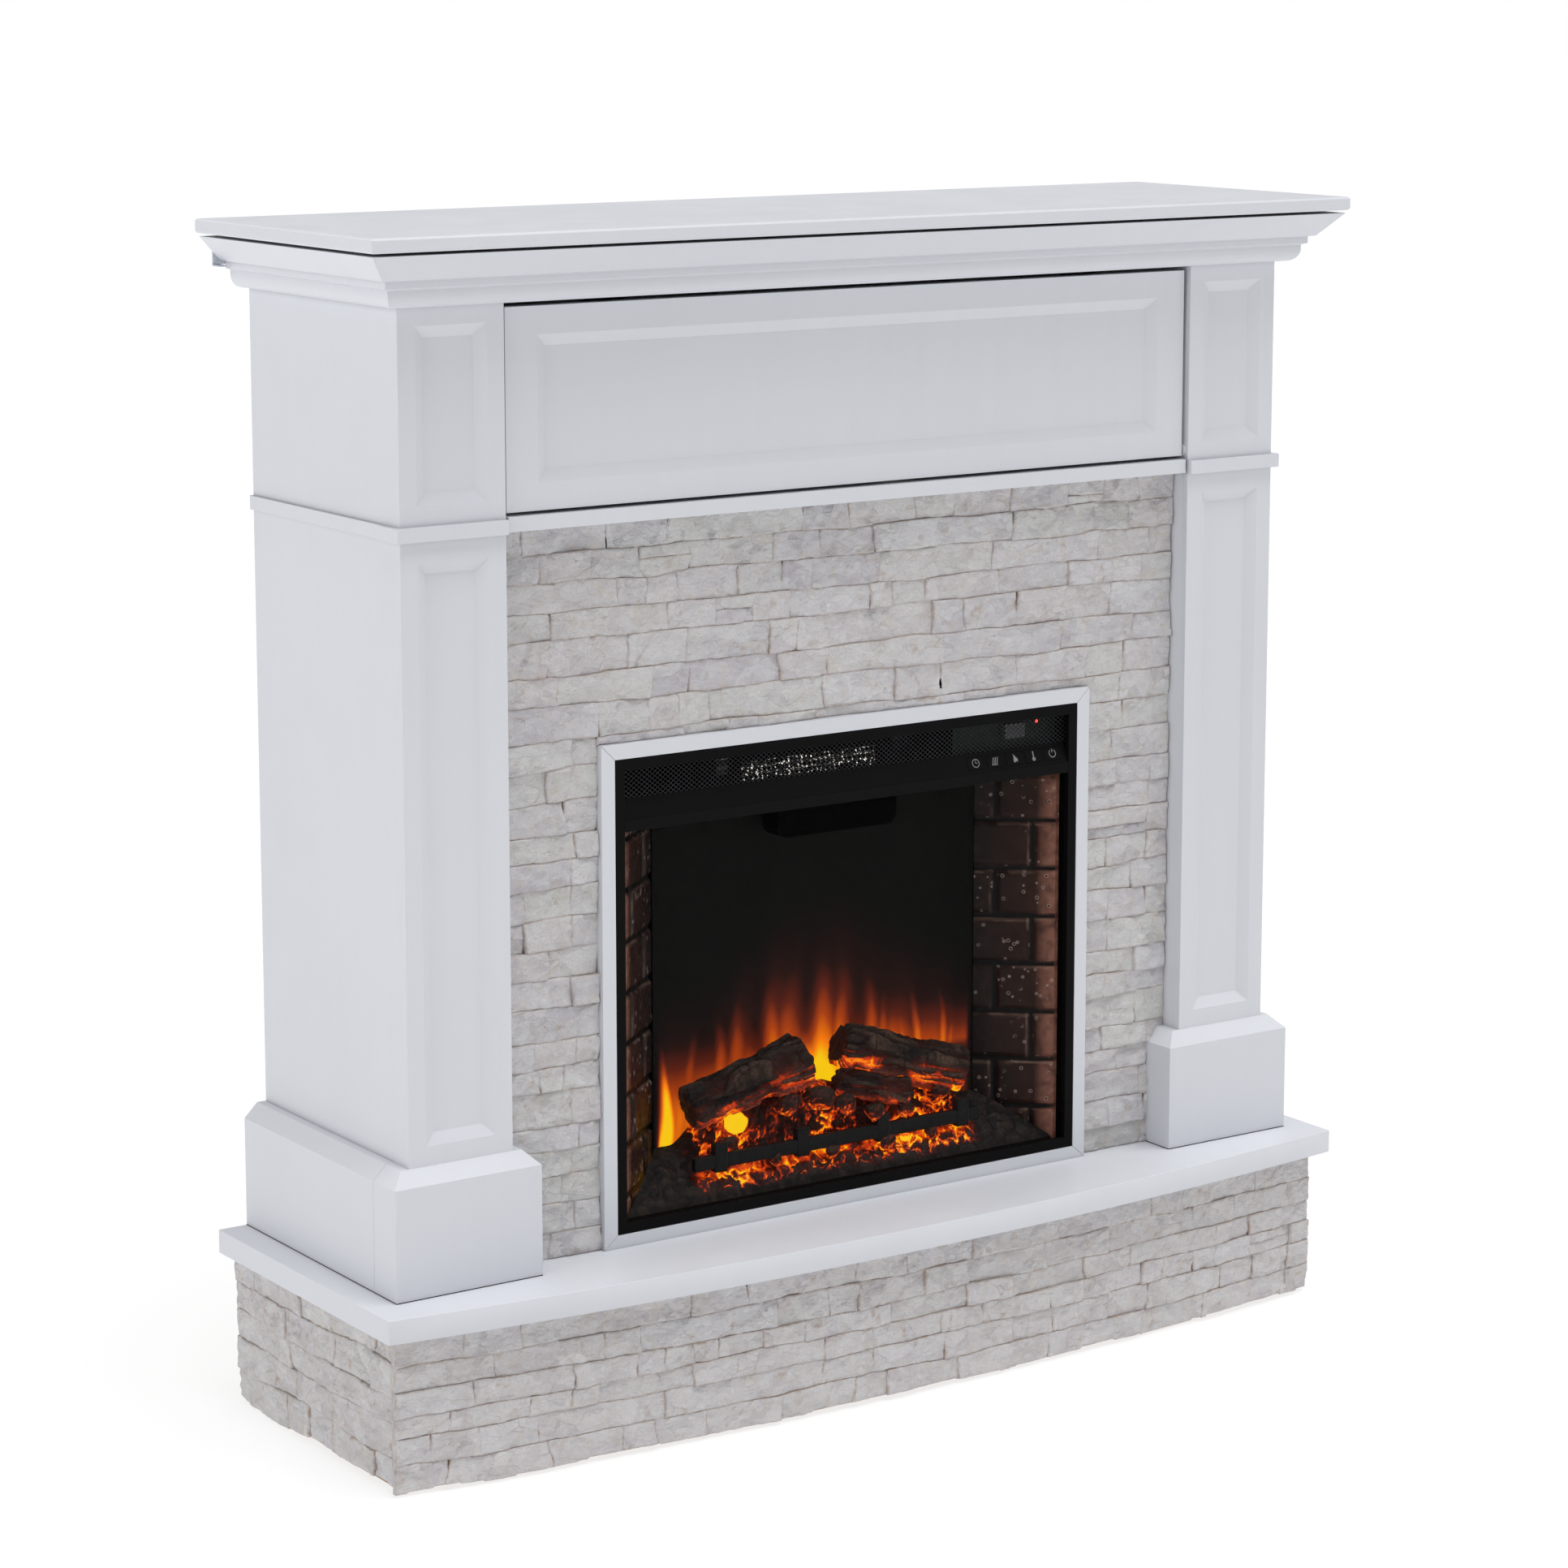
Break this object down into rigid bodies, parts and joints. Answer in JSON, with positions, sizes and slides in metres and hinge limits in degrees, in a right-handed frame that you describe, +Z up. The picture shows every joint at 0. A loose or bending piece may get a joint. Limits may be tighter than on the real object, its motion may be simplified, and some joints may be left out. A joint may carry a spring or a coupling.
{
  "type": "electric fireplace",
  "caption": "White mantel electric fireplace with pale ledgestone facing, bowed stone-faced hearth, drop-down media door and plug-in log firebox.",
  "frame": {"origin": "on the floor, below the middle of the overall box", "axes": "+X to the viewer's right along the mantel, +Y to the back, +Z up"},
  "size_m": [1.2192, 0.41, 1.25],
  "materials": {
    "white_paint": "satin white paint on fibreboard, eased edges",
    "raw_board": "bare particle board",
    "stone": "rough faux ledgestone, off-white with lilac-grey and cream patches",
    "black_steel": "fine matt black powder coat",
    "black_plastic": "satin black moulding",
    "mesh_steel": "black expanded metal",
    "smoked_glass": "polished tempered glass",
    "brick_resin": "copper-brown moulded brick, dark grooves",
    "screen_plastic": "dark diffusing screen",
    "log_resin": "charred bark",
    "ember_resin": "translucent ember bed, lit from below",
    "grate_iron": "matt black",
    "zinc_steel": "zinc plated",
    "aluminium": "bright rolled",
    "circuit_board": "green solder mask",
    "display_lens": "smoked lens",
    "nylon": "natural nylon",
    "rubber_feet": "matt"
  },
  "bodies": {
    "cabinet": {"mantel_top": "white_paint", "case_top": "white_paint", "crown_front": "white_paint", "crown_left": "white_paint", "crown_right": "white_paint", "crown_rail": "white_paint", "side_panel_left": "white_paint", "side_panel_right": "white_paint", "pilaster_left": "white_paint", "pilaster_right": "white_paint", "belt_mouldings": "white_paint", "plinth_left": "white_paint", "plinth_right": "white_paint", "media_shelf": "white_paint", "dividers": "white_paint", "back_panel": "white_paint", "cable_grommets": "nylon", "back_screws": "zinc_steel", "rear_rails": "raw_board", "face_board": "raw_board", "stone_face": "stone", "surround_frame": "white_paint", "hearth_slab": "white_paint", "base_frame": "raw_board", "base_stone_front": "stone", "base_stone_sides": "stone", "base_feet": "rubber_feet", "anti_tip_brackets": "zinc_steel", "magnetic_catches": "black_plastic", "hinge_bushes": "nylon", "insert_housing": "black_steel", "insert_trim": "black_steel", "grille_mesh": "mesh_steel", "control_fascia": "black_plastic", "display_window": "display_lens", "control_board": "circuit_board", "heater_element": "zinc_steel", "blower_housing": "black_steel", "blower_motor": "zinc_steel", "glass_pane": "smoked_glass", "brick_panels": "brick_resin", "flame_screen": "screen_plastic", "heat_deflector": "black_plastic", "log_set": "log_resin", "ember_bed": "ember_resin", "grate": "grate_iron", "rotor_cradle": "zinc_steel", "rotor_motor": "zinc_steel", "led_board": "circuit_board", "power_inlet": "black_plastic"},
    "door": {"door_panel": "white_paint", "hinge_pins": "zinc_steel", "strike_plates": "zinc_steel"},
    "blower_rotor": {"blower_rotor": "aluminium"},
    "flame_rotor": {"flame_rotor": "aluminium"},
    "button_timer": {"button_timer": "black_plastic"},
    "button_heat": {"button_heat": "black_plastic"},
    "button_flame": {"button_flame": "black_plastic"},
    "button_temperature": {"button_temperature": "black_plastic"},
    "button_power": {"button_power": "black_plastic"}
  },
  "joints": [
    {"name": "door_hinge", "type": "hinge", "parent": "cabinet", "child": "door", "pos_m": [0, -0.0966, 0.976], "axis": [1, 0, 0], "range_deg": [0, 90]},
    {"name": "blower_spin", "type": "hinge", "parent": "cabinet", "child": "blower_rotor", "pos_m": [0, 0.045, 0.667], "axis": [1, 0, 0], "continuous": true},
    {"name": "flame_spin", "type": "hinge", "parent": "cabinet", "child": "flame_rotor", "pos_m": [0, 0.025, 0.27], "axis": [1, 0, 0], "continuous": true},
    {"name": "button_timer_press", "type": "slide", "parent": "cabinet", "child": "button_timer", "axis": [0, 0.9285, -0.3714], "range_m": [0, 0.0012], "stiffness_N_per_m": 500},
    {"name": "button_heat_press", "type": "slide", "parent": "cabinet", "child": "button_heat", "axis": [0, 0.9285, -0.3714], "range_m": [0, 0.0012], "stiffness_N_per_m": 500},
    {"name": "button_flame_press", "type": "slide", "parent": "cabinet", "child": "button_flame", "axis": [0, 0.9285, -0.3714], "range_m": [0, 0.0012], "stiffness_N_per_m": 500},
    {"name": "button_temperature_press", "type": "slide", "parent": "cabinet", "child": "button_temperature", "axis": [0, 0.9285, -0.3714], "range_m": [0, 0.0012], "stiffness_N_per_m": 500},
    {"name": "button_power_press", "type": "slide", "parent": "cabinet", "child": "button_power", "axis": [0, 0.9285, -0.3714], "range_m": [0, 0.0012], "stiffness_N_per_m": 500}
  ]
}
